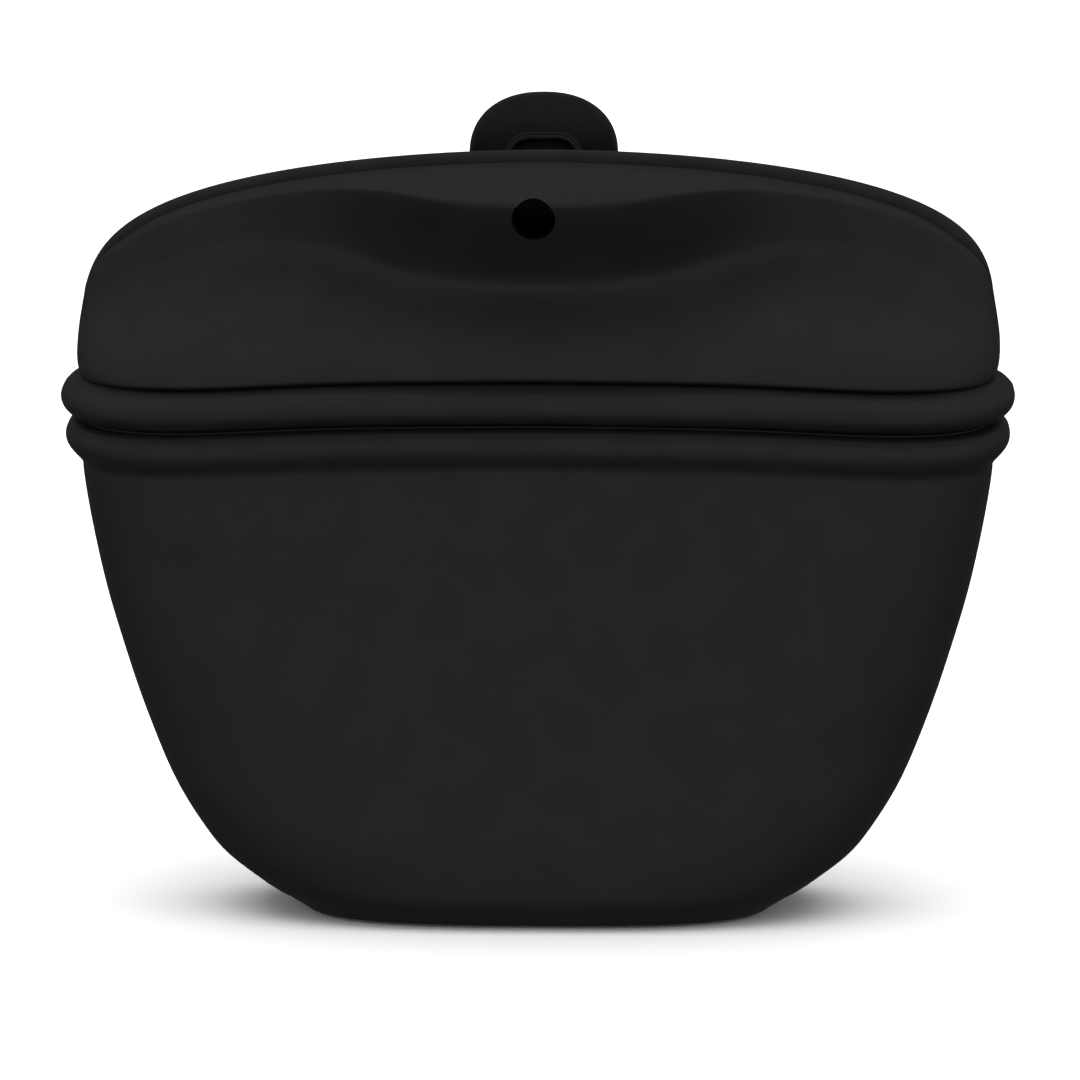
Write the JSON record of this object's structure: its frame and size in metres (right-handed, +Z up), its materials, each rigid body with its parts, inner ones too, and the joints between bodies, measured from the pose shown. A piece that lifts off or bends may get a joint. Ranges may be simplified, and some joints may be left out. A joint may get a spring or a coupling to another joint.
{
  "type": "treat pouch",
  "caption": "Arched silicone pouch for dog treats with a magnetic mouth, a flared front lip with a round hole, two raised ribs and a sprung belt clip on the back.",
  "frame": {"origin": "centre of the flat base that the pouch stands on", "axes": "+Z up, -Y towards the front with the flared lip, X along the width"},
  "size_m": [0.135, 0.0627, 0.115],
  "materials": {
    "silicone": "matte black moulded silicone",
    "silicone_strip": "matte black silicone strip",
    "magnet": "nickel-plated",
    "clip_plastic": "fine-textured black nylon",
    "backing_plate": "brushed",
    "steel": "satin",
    "spring_steel": "drawn wire",
    "pad_rubber": "soft matte"
  },
  "bodies": {
    "pouch": {"pouch_shell": "silicone", "rear_magnet_cover": "silicone_strip", "rear_magnet_left": "magnet", "rear_magnet_right": "magnet", "clip_base": "clip_plastic", "clip_backing_plate": "backing_plate", "clip_screw_upper_left": "steel", "clip_screw_upper_right": "steel", "clip_screw_lower_left": "steel", "clip_screw_lower_right": "steel", "clip_hinge_pin": "steel", "clip_pin_ring": "steel"},
    "front_flap": {"front_flap": "silicone", "front_magnet_cover": "silicone_strip", "front_magnet_left": "magnet", "front_magnet_right": "magnet"},
    "clip_lever": {"clip_lever": "clip_plastic", "clip_jaw_pad": "pad_rubber", "clip_spring": "spring_steel"}
  },
  "joints": [
    {"name": "mouth_hinge", "type": "hinge", "parent": "pouch", "child": "front_flap", "pos_m": [0, -0.0246, 0.0783], "axis": [1, 0, 0], "range_deg": [0, 40]},
    {"name": "clip_hinge", "type": "hinge", "parent": "pouch", "child": "clip_lever", "pos_m": [0, 0.0325, 0.07], "axis": [1, 0, 0], "range_deg": [0, 14], "stiffness_Nm_per_rad": 0.3, "springref_deg": -20.05}
  ]
}
